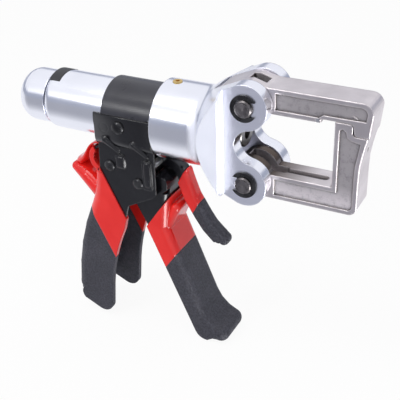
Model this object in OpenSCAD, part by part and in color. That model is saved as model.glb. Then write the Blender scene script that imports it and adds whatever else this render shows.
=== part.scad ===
// Hand-held hydraulic crimping tool with a hinged C-head: two jaws on pins in a
// forked aluminium cylinder, an oil reservoir behind it, a fixed rear handle, a
// squeezed pump lever and a small release lever.
// X runs along the cylinder to the jaws, Z is up, the origin is midway between
// the jaw pins on the cylinder axis.

/* [Head] */
// Distance between the two jaw pins
pin_spacing = 50; // [48:0.5:52]
// Radius of a jaw pin
pin_r = 5.5; // [5:0.1:6]
// Thickness of a jaw
jaw_t = 19.9; // [18:0.1:21]
// Outer width of the fork over its flats
fork_w = 39.2; // [37:0.2:42]
// Radius of a fork lobe around its pin
lobe_r = 14.3; // [13.8:0.1:15]
// Height of the die window between the jaws
window_h = 40; // [38:0.5:41]
// Front wall of the die window, from the pins
window_x = 52; // [48:0.5:54]
// Outer height of the closed jaws
head_h = 71.6; // [70:0.2:74]
// Front end of the closed jaws, from the pins
head_x = 72; // [71:0.2:75]
// Depth of the cast panels in the jaw sides
panel_d = 0.8; // [0.4:0.1:1.2]
// Width of the middle slot in a jaw hub
hub_slot_w = 8; // [6:0.5:9]
// Width of the guide groove in the window floor
groove_w = 5.4; // [4:0.2:6]
// Depth of the guide groove
groove_d = 3; // [2:0.25:4]

/* [Cylinder] */
// Radius of the front barrel
barrel_r = 25.8; // [25:0.2:27]
// Rear shoulder of the front barrel
shoulder_x = -62.4; // [-64:0.2:-61]
// Start of the flare from barrel to fork
flare_x = -33; // [-35:0.5:-31]
// Rear edge of the fork flats
flat_x = -13.9; // [-15:0.1:-13]
// Width over the sides of the flare
flare_w = 55; // [53:0.5:57]
// Radius of the piston
piston_r = 17; // [15:0.25:18]
// Radius of the ram rod
rod_r = 9; // [8.5:0.1:9.2]
// Ram face at rest, from the pins
ram_x = -6.5; // [-8:0.25:-5]
// Stroke of the ram
ram_stroke = 25; // [15:1:25]
// Radius of the die socket in the ram face
socket_r = 4; // [3:0.1:4.5]
// Depth of the die socket
socket_d = 10; // [6:0.5:11]

/* [Reservoir] */
// Radius of the reservoir tube
tube_r = 19.8; // [19.4:0.1:20.2]
// Wall of the reservoir tube
tube_t = 2.2; // [1.8:0.1:2.6]
// Rear end of the tube
tube_end = -147; // [-152:1:-142]
// Radius of the rear cap
cap_r = 18; // [17.4:0.1:18.6]
// Length of the rear cap
cap_l = 24; // [20:1:30]

/* [Handle frame] */
// Thickness of the pressed sheet
sheet_t = 1.5; // [1.2:0.1:1.8]
// Outer half width of the frame plates
frame_y = 19; // [18.6:0.1:19.4]
// Thickness of the dipped plastic coat
coat_t = 1; // [0.7:0.1:1.1]
// Rear edge of the collar strap
strap_x = -99.5; // [-101:0.5:-96]
// Thickness of the collar strap
strap_t = 1.8; // [1.6:0.1:2]
// Curve radius of the rear handle
grip_curve = 192; // [180:2:205]
// Depth of the rear handle from web to open edge
grip_depth = 29; // [26:0.5:31]
// Corner radius of the rear handle
grip_corner = 7; // [5:0.5:8]
// Radius of the two plate rivets
rivet_r = 3; // [2.5:0.1:3.4]
// Radius of a rivet head
rivet_head_r = 3.9; // [3.7:0.1:4.4]

/* [Pump lever] */
// Outer half width of the lever channel
lever_y = 14.6; // [13.6:0.1:15]
// Lean of the lever from the vertical, degrees
lever_lean = 22.5; // [21:0.5:24]
// Corner radius of the lever channel
lever_corner = 5; // [4:0.25:5]
// Radius of the pin that drives the plunger
push_r = 3.5; // [3:0.1:4]
// Radius of the pump plunger
plunger_r = 4.5; // [3.5:0.1:4.8]
// Lift of the plunger at full squeeze
plunger_lift = 5.5; // [4:0.25:5.5]

/* [Release lever] */
// Outer half width of the release lever
release_y = 4.4; // [4.2:0.1:5]
// Radius of the release pivot
release_pin_r = 2.5; // [2:0.1:2.8]
// Radius of the release valve pin
valve_r = 2.2; // [1.8:0.1:2.5]

/* [Fits] */
// Running clearance on a radius
run_c = 0.05; // [0.02:0.01:0.09]
// Side clearance of the jaws in the fork
side_c = 0.3; // [0.2:0.05:0.4]
// Clearance on the parting line of the jaws
part_c = 0.4; // [0.3:0.05:0.5]
// Gap between sheet and the round barrel
seat_c = 0.1; // [0.05:0.05:0.2]

/* [Hidden] */
$fn = 64;
pz = pin_spacing / 2;
jy = jaw_t / 2;
fy = fork_w / 2;
slot_y = jy + side_c;
wz = window_h / 2;
hz = head_h / 2;
hub_r = lobe_r - 0.8;
barrel_rise = barrel_r - pz;
tan_d = sqrt(flare_x * flare_x + barrel_rise * barrel_rise);
tan_a = atan2(-barrel_rise, -flare_x) + asin(lobe_r / tan_d);
tan_l = sqrt(tan_d * tan_d - lobe_r * lobe_r);
tan_p = [flare_x + tan_l * cos(tan_a), barrel_r + tan_l * sin(tan_a)];
notch_x = 4.4;
notch_r = sqrt(notch_x * notch_x + pz * pz) - lobe_r;
boss_x = -12;
boss_h = 10.5;
root_x = -24;
bore_x0 = shoulder_x + 1.4;
bore_x1 = bore_x0 + ram_stroke + 9;
spigot_r = tube_r - tube_t - 0.05;
spigot_x = strap_x + 0.5;
collar_x = shoulder_x - 0.6;
saddle_r = tube_r + seat_c;
frame_yi = frame_y - sheet_t;
rivet_a = [-97, -33];
pivot = [-76, -42];
release_p = [-68, -30];
valve_x = -75;
plunger_x = -86.5;
push_p = [-88, -38];
plunger_z = push_p[1] + push_r + 0.3;
bolt_p = [-87, -3];
grip_c = [grip_curve - 134, -148];
grip_top = asin(79.3 / grip_curve);
grip_bot = asin(11 / grip_curve);
neck_curve = 72;
horn_p = [-133.4, -46.8];
neck_c = grip_c + (grip_curve + neck_curve) * [-cos(grip_top), sin(grip_top)];
toe_r = 26;
toe_a = 16.3;
lever_p = [-35.4, -133.6];
toe_p = lever_p + toe_r * [cos(lever_lean), sin(lever_lean)];
knee_p = lever_p + 64.3 * [-sin(lever_lean), cos(lever_lean)];
head_lean = 5.8;
head_p = [-62.2, -41.5];
head_r = 5;
clip_y = fy + 0.15;
clip_t = 1;
pin_end = fy + 2.6;
lever_dip = -34.8;
lever_red = [-72, -73];
lever_grey = [-59, -103];
frame_dip = 206.8;
frame_red = [-105.8, -35];
frame_grey = [-95.2, -111.3];
release_dip = -28;
release_red = [-52.5, -40];
release_grey = [-41.5, -59.5];
release_round = 2.6;
release_tip = [-22.8, -80.9];
lever_step = 0.7 * coat_t / (lever_corner - sheet_t);
plug_z = max(barrel_r - 4.8, piston_r + 1.2);

function arc(c, r, a0, a1, n = 6) =
  [for (i = [0:n]) c + r * [cos(a0 + (a1 - a0) * i / n), sin(a0 + (a1 - a0) * i / n)]];

// A side profile (x, z) given thickness across the tool, from y0 to y1
module side(y0, y1) {
  translate([0, y1, 0])
    rotate([90, 0, 0])
      linear_extrude(y1 - y0)
        children();
}

// The same thickness on the near and the far side
module both(y0, y1) {
  side(y0, y1) children();
  side(-y1, -y0) children();
}

// A round along the barrel axis from x0 to x1
module xcyl(r, x0, x1) {
  translate([x0, 0, 0])
    rotate([0, 90, 0])
      cylinder(r = r, h = x1 - x0);
}

// A round across the tool at (x, z) from y0 to y1
module ycyl(p, r, y0, y1) {
  translate([p[0], y1, p[1]])
    rotate([90, 0, 0])
      cylinder(r = r, h = y1 - y0);
}

// An upright round at x from z0 to z1
module zcyl(x, r, z0, z1) {
  translate([x, 0, z0])
    cylinder(r = r, h = z1 - z0);
}

// A turned profile (radius, x) about the barrel axis
module turned() {
  rotate([0, 90, 0])
    rotate_extrude()
      children();
}

// Everything beyond a slanted dip line through p, in the direction a
module dip(p, a) {
  side(-60, 60)
    translate(p)
      rotate(a)
        translate([0, -200])
          square([300, 400]);
}

// Side view of the fork: two lobes, the tangents to the barrel and the notch
module fork_profile() {
  difference() {
    union() {
      for (s = [-1, 1])
        translate([0, s * pz])
          circle(r = lobe_r, $fn = 96);
      polygon([[flare_x - 12, -barrel_r], [flare_x, -barrel_r], [tan_p[0], -tan_p[1]],
        [0, -pz], [notch_x - 1.9, -notch_r + 0.2], [notch_x - 1.9, notch_r - 0.2],
        [0, pz], tan_p, [flare_x, barrel_r], [flare_x - 12, barrel_r]]);
    }
    translate([notch_x, 0])
      circle(r = notch_r, $fn = 96);
  }
}

// Turned flare: a concave sweep from the barrel into a steep cone
module flare_profile() {
  polygon(concat([[0, flare_x - 12], [barrel_r, flare_x - 12]],
    [for (q = arc([flare_x, barrel_r + 8], 8, -90, -45, 6)) [q[1], q[0]]],
    [[barrel_r + 40, flare_x + 43], [barrel_r + 40, 60], [0, 60]]));
}

// Cylinder body turned and milled from one bar, with the fork at its front
module body() {
  color([0.80, 0.81, 0.84])
    difference() {
      union() {
        turned()
          polygon([[0, shoulder_x], [barrel_r - 0.8, shoulder_x],
            [barrel_r, shoulder_x + 0.8], [barrel_r, flare_x - 6], [0, flare_x - 6]]);
        xcyl(spigot_r, spigot_x, shoulder_x + 1);
        intersection() {
          side(-flare_w / 2, flare_w / 2)
            fork_profile();
          turned()
            flare_profile();
          union() {
            translate([flare_x - 20, -flare_w / 2, -60])
              cube([flat_x - flare_x + 20, flare_w, 120]);
            translate([flat_x - 1, -fy, -60])
              cube([60, fork_w, 120]);
          }
        }
      }
      for (s = [-1, 1])
        translate([root_x, -slot_y, s > 0 ? boss_h : -boss_h - 40])
          cube([60, 2 * slot_y, 40]);
      translate([boss_x, -slot_y, -20])
        cube([50, 2 * slot_y, 40]);
      xcyl(piston_r + run_c, bore_x0, bore_x1);
      xcyl(rod_r + run_c, bore_x1 - 1, boss_x + 1);
      xcyl(rod_r + 2, boss_x - 5, boss_x - 2.4);
      for (s = [-1, 1])
        ycyl([0, s * pz], pin_r + run_c, -30, 30);
      zcyl(-54, 3.05, plug_z - 0.2, barrel_r + 2);
      zcyl(plunger_x, plunger_r + run_c, -14, plunger_lift - 8.5);
      zcyl(plunger_x, 6.6, -30, -11.5);
      zcyl(valve_x, valve_r + run_c, -16, -8);
      zcyl(valve_x, 4.1, -30, -13.5);
      for (s = [-1, 1])
        ycyl(bolt_p, 2.55, s > 0 ? 11 : -20, s > 0 ? 20 : -11);
    }
}

// Thin tube around the pump end of the body, holding the oil behind it
module reservoir_tube() {
  color([0.83, 0.84, 0.87])
    difference() {
      turned()
        polygon(concat([[tube_r - tube_t, shoulder_x - 0.05], [tube_r, shoulder_x - 0.05]],
          [for (q = arc([tube_end + 5, tube_r - 5], 5, 90, 160, 6)) [q[1], q[0]]],
          [[cap_r - 3.9, tube_end], [cap_r - 3.9, tube_end + 3.4],
           [tube_r - tube_t, tube_end + 6]]));
      zcyl(plunger_x, 6.8, -30, -11);
      zcyl(valve_x, 4.3, -30, -11);
      for (s = [-1, 1])
        ycyl(bolt_p, 2.7, s > 0 ? 11 : -30, s > 0 ? 30 : -11);
    }
}

// Rounded rear cap, screwed into the tube
module end_cap() {
  color([0.83, 0.84, 0.87])
    turned()
      polygon(concat([[0, tube_end - cap_l]],
        [for (q = arc([tube_end - cap_l + 11, cap_r - 11], 11, 180, 90, 10)) [q[1], q[0]]],
        [[cap_r, tube_end - 0.15], [cap_r - 4, tube_end - 0.15],
         [cap_r - 4, tube_end + 3], [0, tube_end + 3]]));
}

// Rubber bag inside the reservoir
module oil_bladder() {
  color([0.10, 0.10, 0.10])
    difference() {
      turned()
        polygon([[0, tube_end + 7], [10, tube_end + 7], [15.5, tube_end + 13],
          [15.5, spigot_x - 2.1], [17.2, spigot_x - 2.1], [17.2, spigot_x - 0.1],
          [0, spigot_x - 0.1]]);
      turned()
        polygon([[0, tube_end + 8.5], [9.4, tube_end + 8.5], [14, tube_end + 13.5],
          [14, spigot_x + 1], [0, spigot_x + 1]]);
    }
}

// Brass plug flush on top of the cylinder
module filler_plug() {
  color([0.72, 0.56, 0.24])
    difference() {
      zcyl(-54, 3, plug_z, barrel_r + 0.5);
      zcyl(-54, 1.3, barrel_r - 0.7, barrel_r + 2);
    }
}

// Bare black label wrapped over the top of the reservoir
module label_band() {
  color([0.06, 0.06, 0.07])
    intersection() {
      difference() {
        xcyl(tube_r + 0.3, tube_end + 2.2, tube_end + 10.2);
        xcyl(tube_r, tube_end, tube_end + 12);
      }
      translate([tube_end, -11, 0])
        cube([15, 26, 40]);
    }
}

// Pressed strap over the barrel, joined to the saddles of the frame
module collar_strap() {
  color([0.09, 0.09, 0.10])
    intersection() {
      difference() {
        xcyl(saddle_r + strap_t, strap_x, collar_x);
        xcyl(saddle_r, strap_x - 1, collar_x + 1);
      }
      side(-30, 30)
        difference() {
          translate([strap_x, 4.6])
            square([collar_x - strap_x, 40]);
          difference() {
            translate([collar_x - 5, 4])
              square([6, 5.6]);
            translate([collar_x - 5, 9.6])
              circle(r = 5);
          }
        }
    }
}

// Points up the rear of the handle, moved out by d: a long curve and a short reverse one
function rear_at(i, d) =
  i < 5 ? let (a = grip_bot + (grip_top - grip_bot) * i / 4)
    grip_c + (grip_curve + d) * [-cos(a), sin(a)]
  : let (a = -grip_top + (grip_top - 0.6) * (i - 4) / 3)
    neck_c + (neck_curve - d) * [cos(a), sin(a)];

// Side outline of the frame: plate under the saddle, handle wall, rear edge moved in by f
module grip_profile(g, f) {
  polygon(concat(
    [[-104.5, -9], [collar_x, -9], [collar_x, -48], [-66, -51], [-85.5 + g, -61.5]],
    [for (a = [grip_top:-3:2]) grip_c + (grip_curve - grip_depth - g) * [-cos(a), sin(a)]],
    arc([-112.5, -147.2], 7 + g, -10, -112, 6),
    [for (i = [0:6]) [-125, -139.5] + (9 + g - f * i / 6)
      * [cos(-112 - 83 * i / 6), sin(-112 - 83 * i / 6)]],
    [for (i = [0:7]) rear_at(i, g - f)],
    [[-105.4, -40 + g], [-104.7 - g * 0.5, -21]]));
}

// Bent channel of the rear handle with its plates, open to the front
module grip_shell(g) {
  r = grip_corner + g;
  w = frame_y + g;
  t = sheet_t + g;
  difference() {
    union() {
      side(-w + r - 0.4, w - r + 0.4)
        grip_profile(g, 0);
      side(-w, w)
        grip_profile(g, r + 0.4);
      for (s = [-1, 1])
        translate([0, s * (w - r), 0])
          for (i = [7:-1:1])
            edge_round(rear_at(i, g - r), rear_at(i - 1, g - r), r);
      for (s = [-1, 1])
        translate([0, s * (w - r), 0])
          edge_round(rear_at(0, g - r), [-125.6, -140.6], r);
    }
    for (k = [0, 0.3, 1])
      let (e = t + k * (grip_corner - t), y = frame_y - (k == 0.3 ? e : t + grip_corner - e))
        side(-y, y)
          polygon(concat([for (i = [0:7]) rear_at(i, -e)],
            [[-111 + e, 20], [-40, 20], [-40, -180], [-132 + e, -180]]));
  }
}

// Loop of sheet rolled forward above the web, under the barrel
module web_loop(g) {
  difference() {
    ycyl([-104.5, -31.4], 9.7 + g, -15 - g, 15 + g);
    ycyl([-104.5, -31.4], 9.7 - sheet_t - g, -30, 30);
    translate([-104 + g, -40, -60])
      cube([40, 80, 80]);
    translate([-108.2 + g, -40, -80])
      cube([40, 80, 41]);
  }
}

// Round bar across the tool with ball ends, at p, over half width y
module bar(p, r, y) {
  for (s = [-1, 1])
    translate([p[0], s * y, p[1]])
      sphere(r = r, $fn = 32);
}

// Horn behind the web that stops the hand from riding up
module horn() {
  hull() {
    bar(horn_p, 3.4, 6.5);
    bar(horn_p + [10, -4.6], 5.6, 7.5);
  }
  hull() {
    bar(horn_p + [10, -4.6], 5.6, 7.5);
    bar(horn_p + [21.5, -12.5], 6.8, 9);
  }
}

// Black pressed frame: saddles, side plates and the rear handle in one weldment
module handle_frame() {
  color([0.09, 0.09, 0.10])
    difference() {
      union() {
        intersection() {
          difference() {
            xcyl(saddle_r + sheet_t, -105.5, collar_x);
            xcyl(saddle_r, -110, -50);
          }
          union() {
            translate([-110, 14, -17])
              cube([60, 20, 21.4]);
            translate([-110, -34, -17])
              cube([60, 20, 21.4]);
          }
        }
        difference() {
          grip_shell(0);
          xcyl(saddle_r + 0.2, -110, -50);
        }
        both(frame_y - 0.1, frame_y + 1.1) {
          polygon(concat(arc([-86.6, -24.6], 1.4, 0, 90, 3), arc([-90.4, -24.6], 1.4, 90, 180, 3),
            arc([-90.4, -31.6], 1.4, 180, 270, 3), arc([-86.6, -31.6], 1.4, 270, 360, 3)));
          polygon(concat(arc([-66.4, -25.4], 1.4, 0, 90, 3), arc([-70.6, -25.4], 1.4, 90, 180, 3),
            arc([-70.6, -43.6], 1.4, 180, 270, 3), arc([-66.4, -43.6], 1.4, 270, 360, 3)));
        }
        web_loop(0);
        for (s = [-1, 1])
          for (x = [-98, -77.5])
            translate([x, s * 20.6, -12.5])
              rotate([s * 12, 133, 0]) {
                cylinder(r = 1.9, h = 12.5);
                sphere(r = 1.97);
              }
      }
      for (p = [rivet_a, pivot])
        ycyl(p, rivet_r + 0.02, -40, 40);
      ycyl(release_p, release_pin_r + 0.02, -frame_y + 0.2, frame_y - 0.2);
      ycyl(bolt_p, 2.6, -40, 40);
      xcyl(saddle_r, -125, -50);
    }
}

// The two dipped plastics on the rear handle, before the dip lines part them
module frame_coat() {
  difference() {
    union() {
      grip_shell(coat_t);
      web_loop(coat_t);
      horn();
    }
    grip_shell(0);
    web_loop(0);
  }
}

// Glossy red dip on the upper part of the rear handle
module frame_red_coat() {
  color([0.80, 0.08, 0.08])
    intersection() {
      frame_coat();
      difference() {
        dip(frame_red, frame_dip);
        difference() {
          dip(frame_grey, frame_dip);
          translate([-160, -40, -70])
            cube([80, 80, 60]);
        }
      }
    }
}

// Dark grey second dip on the grip of the rear handle
module frame_grey_grip() {
  color([0.22, 0.22, 0.24])
    intersection() {
      frame_coat();
      dip(frame_grey, frame_dip);
      translate([-170, -40, -170])
        cube([110, 80, 100]);
    }
}

// Domed head on an axis across the tool, outside face at y, towards side s
module dome_head(p, r, h, y, s) {
  translate([p[0], s * y, p[1]])
    rotate([-90 * s, 0, 0])
      rotate_extrude()
        polygon(concat([[0, 0], [r, 0], [r, 0.5]],
          [for (a = [15:15:75]) [r * cos(a), 0.5 + (h - 0.5) * sin(a)]], [[0, h]]));
}

// Through rivet behind the plunger
module plate_rivet() {
  color([0.12, 0.12, 0.13]) {
    ycyl(rivet_a, rivet_r, -frame_y - 0.02, frame_y + 0.02);
    for (s = [-1, 1])
      dome_head(rivet_a, rivet_head_r, 2.2, frame_y, s);
  }
}

// Tube that keeps the plates apart on the rear rivet
module plate_spacer() {
  color([0.45, 0.45, 0.47])
    difference() {
      ycyl(rivet_a, 4, -frame_yi + 0.05, frame_yi - 0.05);
      ycyl(rivet_a, rivet_r + run_c, -30, 30);
    }
}

// Through rivet that the pump lever turns on
module lever_pivot() {
  color([0.12, 0.12, 0.13]) {
    ycyl(pivot, rivet_r, -frame_y - 0.02, frame_y + 0.02);
    for (s = [-1, 1])
      dome_head(pivot, rivet_head_r, 2.2, frame_y, s);
  }
}

// Spacers between plates and lever on its pivot
module pivot_spacers() {
  color([0.45, 0.45, 0.47])
    for (s = [-1, 1])
      difference() {
        ycyl(pivot, 5, s > 0 ? lever_y + 0.15 : -frame_yi + 0.05,
          s > 0 ? frame_yi - 0.05 : -lever_y - 0.15);
        ycyl(pivot, rivet_r + run_c, -30, 30);
      }
}

// Domed bolts that hold the saddles to the body
module collar_bolts() {
  color([0.14, 0.14, 0.15])
    for (s = [-1, 1]) {
      dome_head(bolt_p, 4.5, 2.4, saddle_r + sheet_t, s);
      ycyl(bolt_p, 2.5, s > 0 ? 12 : -saddle_r - sheet_t - 0.1,
        s > 0 ? saddle_r + sheet_t + 0.1 : -12);
    }
}

// Jaw pin with a groove for a clip near each end
module jaw_pin(z) {
  color([0.30, 0.29, 0.29])
    difference() {
      translate([0, 0, z])
        rotate([90, 0, 0])
          rotate_extrude()
            polygon([[0, -pin_end], [pin_r - 0.8, -pin_end], [pin_r, -pin_end + 0.8],
              [pin_r, pin_end - 0.8], [pin_r - 0.8, pin_end], [0, pin_end]]);
      for (s = [-1, 1])
        difference() {
          ycyl([0, z], pin_r + 2, s > 0 ? clip_y - 0.05 : -clip_y - clip_t - 0.05,
            s > 0 ? clip_y + clip_t + 0.05 : -clip_y + 0.05);
          ycyl([0, z], pin_r - 1.2, -40, 40);
        }
    }
}

module upper_pin() {
  jaw_pin(pz);
}

module lower_pin() {
  jaw_pin(-pz);
}

// Outline of a clip: a broad ring open to one side, with three inner tabs
module clip_profile() {
  difference() {
    circle(r = pin_r + 3);
    circle(r = pin_r + 0.35);
    translate([0, -pin_r * 0.82])
      square([30, 2 * pin_r * 0.82]);
  }
  for (a = [62, 180, 298])
    rotate(a)
      translate([pin_r - 1.15, -1.7])
        square([2.2, 3.4]);
}

// Four open clips, two on each pin
module e_clips() {
  color([0.07, 0.07, 0.07])
    for (s = [-1, 1])
      for (y = [-clip_y - clip_t, clip_y])
        translate([0, 0, s * pz])
          side(y, y + clip_t)
            rotate(s > 0 ? 0 : 180)
              clip_profile();
}

// Gland screwed in from below that guides the pump plunger
module pump_gland() {
  color([0.72, 0.58, 0.28])
    difference() {
      union() {
        zcyl(plunger_x, 6.5, -23.5, -11.6);
        zcyl(plunger_x, 7.2, -23.5, -21.2);
      }
      zcyl(plunger_x, plunger_r + run_c, -30, -3);
      zcyl(plunger_x, plunger_r + 1.1, -17.2, -15);
    }
}

// Bush that guides the release valve pin
module valve_bush() {
  color([0.72, 0.58, 0.28])
    difference() {
      zcyl(valve_x, 4, -23, -13.6);
      zcyl(valve_x, valve_r + run_c, -30, -3);
    }
}

// Hidden pin behind the front beads of the plates for the release lever
module release_pivot() {
  color([0.45, 0.45, 0.47])
    ycyl(release_p, release_pin_r, -frame_y + 0.25, frame_y - 0.25);
}

// Ring in the mouth of the cylinder that wipes the rod
module rod_wiper() {
  color([0.10, 0.10, 0.10])
    difference() {
      xcyl(rod_r + 1.95, boss_x - 4.95, boss_x - 2.45);
      xcyl(rod_r + 0.02, boss_x - 8, boss_x);
    }
}

// Piston and rod in one piece, hollow for the spring, with a die socket in front
module ram() {
  color([0.55, 0.55, 0.57])
    difference() {
      turned()
        polygon([[0, bore_x0 + 0.4], [piston_r, bore_x0 + 0.4], [piston_r, bore_x0 + 2.4],
          [piston_r - 2.2, bore_x0 + 2.4], [piston_r - 2.2, bore_x0 + 5.6],
          [piston_r, bore_x0 + 5.6], [piston_r, bore_x0 + 8.4], [rod_r, bore_x0 + 8.4],
          [rod_r, ram_x - 0.8], [rod_r - 0.8, ram_x], [0, ram_x]]);
      xcyl(5, bore_x0 - 1, ram_x - socket_d - 4);
      xcyl(socket_r, ram_x - socket_d, ram_x + 1);
    }
}

// Rubber ring in the piston groove
module piston_seal() {
  color([0.08, 0.08, 0.08])
    difference() {
      xcyl(piston_r + 0.02, bore_x0 + 2.6, bore_x0 + 5.4);
      xcyl(piston_r - 2.15, bore_x0 - 2, bore_x0 + 20);
    }
}

// Coil of round wire along an axis, drawn as stacked turns joined by a stem
module coil(r, w, pitch, n) {
  for (i = [0:n - 1])
    translate([0, 0, i * pitch])
      rotate_extrude()
        translate([r, 0])
          circle(r = w, $fn = 14);
  translate([r, 0, 0])
    cylinder(r = w * 0.9, h = pitch * (n - 1), $fn = 14);
}

// Spring inside the ram that draws it back
module ram_spring() {
  color([0.60, 0.60, 0.62])
    translate([bore_x0 + 1, 0, 0])
      rotate([0, 90, 0])
        coil(3.6, 0.7, 2.9, 13);
}

// Point at the bend of the lever's front, moved out by d
function knee(d) = knee_p + d / cos((lever_lean + head_lean) / 2)
  * [cos((lever_lean - head_lean) / 2), sin((lever_lean - head_lean) / 2)];

// Points of the toe's front, moved out by d
function toe_at(i, d) =
  i == 0 ? lever_p + d / cos(toe_a / 4) * [cos(lever_lean + toe_a / 4), sin(lever_lean + toe_a / 4)]
  : i < 3 ? toe_p - (toe_r - d / cos(toe_a / 2)) * [cos(lever_lean + i * toe_a), sin(lever_lean + i * toe_a)]
  : toe_p - toe_r * [cos(lever_lean + 3 * toe_a), sin(lever_lean + 3 * toe_a)]
    + d * [cos(lever_lean + 2.5 * toe_a), sin(lever_lean + 2.5 * toe_a)];

// A round on the side outline from a to b, with rounded knees
module edge_round(a, b, r) {
  translate([a[0], 0, a[1]])
    rotate([0, atan2(b[0] - a[0], b[1] - a[1]), 0])
      cylinder(r = r, h = norm(b - a));
  translate([b[0], 0, b[1]])
    sphere(r = r + 0.1);
}

// Side outline of the pump lever: head, front run, bent toe, straight rear edge
module lever_profile(g, f) {
  polygon(concat(
    [knee(g - f), [-57.6 + g - f, -50], [-57.2 + g, -45]],
    arc(head_p, head_r + g, 0, 90, 6),
    [[-76, -35 + g]],
    arc([-87.6, -38.4], 5.2 + g, 90, 215, 6),
    [[-73.5 - g, -75]],
    arc([-31, -149.5], 8 + g, 205, 275, 6),
    arc(toe_at(3, -lever_corner), lever_corner + g - 0.6 - 0.8 * f, 270, 395, 8),
    [for (i = [3:-1:0]) toe_at(i, g - f)]));
}

// Solid that the lever channel is bent around: rounded front edges, open rear
module lever_solid(g) {
  r = lever_corner + g;
  w = lever_y + g;
  side(-w + r - 0.4, w - r + 0.4)
    lever_profile(g, 0);
  side(-w, w)
    lever_profile(g, r + 0.4);
  for (s = [-1, 1])
    translate([0, s * (w - r), 0]) {
      edge_round([-57.5 + g - r, -48.7], knee(g - r), r);
      edge_round(knee(g - r), toe_at(0, g - r), r);
      for (i = [0:2])
        edge_round(toe_at(i, g - r), toe_at(i + 1, g - r), r);
    }
  ycyl(toe_at(3, g - r), r + 0.15, -w + r - 0.3, w - r + 0.3);
}

// Hollow of the lever channel, open to the rear and at the top of the head
module lever_hollow(g) {
  t = sheet_t + g;
  for (k = [0, lever_step, 1])
    let (e = t + k * (lever_corner - t), y = lever_y - (k == lever_step ? e : t + lever_corner - e))
      side(-y, y)
        polygon(concat([[-120, -20], [-65.5, -20], [-65.5, head_p[1] + head_r - e]],
          arc(head_p, head_r - e, 90, 0, 4),
          [[-57.6 - e, -50], knee(-e)], [for (i = [0:3]) toe_at(i, -e)],
          [[-24.2, -154.6], [-27.6, -155.8], [-31, -156], [-60, -240], [-120, -160]]));
}

// Rounded stop lip on the front of the lever, above the fingers
module lever_lip(g) {
  hull() {
    bar([-54.8, -60.6], 2.6 + g, 8);
    bar([-60.8, -74], 2.6 + g, 9);
  }
}

// Bent channel of the lever with its lip, open to the rear
module lever_shell(g) {
  difference() {
    union() {
      lever_solid(g);
      lever_lip(g);
    }
    lever_hollow(g);
  }
}

// Squeezed lever: a pressed channel with its web to the front
module pump_lever() {
  color([0.09, 0.09, 0.10])
    difference() {
      lever_shell(0);
      ycyl(pivot, rivet_r + run_c, -40, 40);
      ycyl(push_p, push_r * 0.6, -40, 40);
    }
}

// The two dipped plastics on the lever, before the dip lines part them
module lever_coat() {
  difference() {
    lever_shell(coat_t);
    lever_shell(0);
  }
}

// Glossy red dip on the upper part of the lever
module lever_red_coat() {
  color([0.80, 0.08, 0.08])
    intersection() {
      lever_coat();
      difference() {
        dip(lever_red, lever_dip);
        dip(lever_grey, lever_dip);
      }
    }
}

// Dark grey second dip on the grip of the lever
module lever_grey_grip() {
  color([0.22, 0.22, 0.24])
    intersection() {
      lever_coat();
      dip(lever_grey, lever_dip);
    }
}

// Cross pin in the lever that lifts the plunger
module push_pin() {
  color([0.45, 0.45, 0.47]) {
    ycyl(push_p, push_r, -lever_y + sheet_t, lever_y - sheet_t);
    ycyl(push_p, push_r * 0.6, -lever_y, lever_y);
  }
}

// Pump plunger with a collar for its spring
module plunger() {
  color([0.60, 0.60, 0.62])
    difference() {
      union() {
        zcyl(plunger_x, plunger_r, plunger_z, -10);
        zcyl(plunger_x, plunger_r + 1.5, plunger_z, plunger_z + 2);
      }
    }
}

// Ring in the gland around the plunger
module plunger_seal() {
  color([0.08, 0.08, 0.08])
    difference() {
      zcyl(plunger_x, plunger_r + 1.05, -17.1, -15.1);
      zcyl(plunger_x, plunger_r + 0.02, -20, -10);
    }
}

// Spring between gland and plunger collar that returns plunger and lever
module plunger_spring() {
  color([0.60, 0.60, 0.62])
    translate([plunger_x, 0, plunger_z + 2.6])
      coil(plunger_r + 1.3, 0.5, 1.9, 4);
}

// Points down the front of the release lever, moved out by d
function release_at(i, d) =
  [[-48.4, -34.6], [-46.4, -40.5], [-42.4, -51.2], [-35.6, -62.6], [-30.4, -70.2], [-23.9, -76.3]][i]
  + d * [cos([37, 18, 26, 33, 41, 52][i]), sin([37, 18, 26, 33, 41, 52][i])];

// Side outline of the release lever, its front edge moved in by f
module release_profile(g, f) {
  polygon(concat(
    arc(release_p + [-8, 1], 3.2 + g, 250, 90, 5),
    [[-63, -25.4 + g], [-53.2, -30.2 + g]],
    [for (i = [0:5]) release_at(i, g - f)],
    arc(release_tip - f * [0.15, -0.1], release_round + g - 0.6 - 0.55 * f, 50, -120, 7),
    [[-28.1 - g * 0.6, -81.7 - g * 0.8], [-35.6 - g * 0.75, -74.6 - g * 0.65],
     [-41.4 - g * 0.85, -66.2 - g * 0.5], [-48.6 - g * 0.9, -54.2 - g * 0.4], [-53 - g, -43.4],
     [-55.4 - g * 0.5, -37.2 - g * 0.5], [-59, -34 - g], [-66, -32.8 - g]]));
}

// Release lever shell: a slim tongue with a rounded web in front, hollow to the rear
module release_shell(g) {
  r = release_round + g;
  w = release_y + g;
  difference() {
    union() {
      side(-w + r - 0.4, w - r + 0.4)
        release_profile(g, 0);
      side(-w, w)
        release_profile(g, r + 0.4);
      for (s = [-1, 1])
        translate([0, s * (w - r), 0]) {
          edge_round([-52.6, -30.6 + g - r], release_at(0, g - r), r);
          for (i = [0:4])
            edge_round(release_at(i, g - r), release_at(i + 1, g - r), r);
          edge_round(release_at(5, g - r), release_tip, r);
        }
      ycyl(release_tip, r + 0.15, -w + r - 0.3, w - r + 0.3);
    }
    side(-w + sheet_t + 2 * g, w - sheet_t - 2 * g)
      polygon(concat([[-90, -27.5 - g], [-64, -27.5 - g], [-54.4, -32.4 - g]],
        [for (i = [0:5]) release_at(i, -sheet_t - g)], [[-27, -95], [-60, -95], [-90, -60]]));
  }
}

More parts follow.
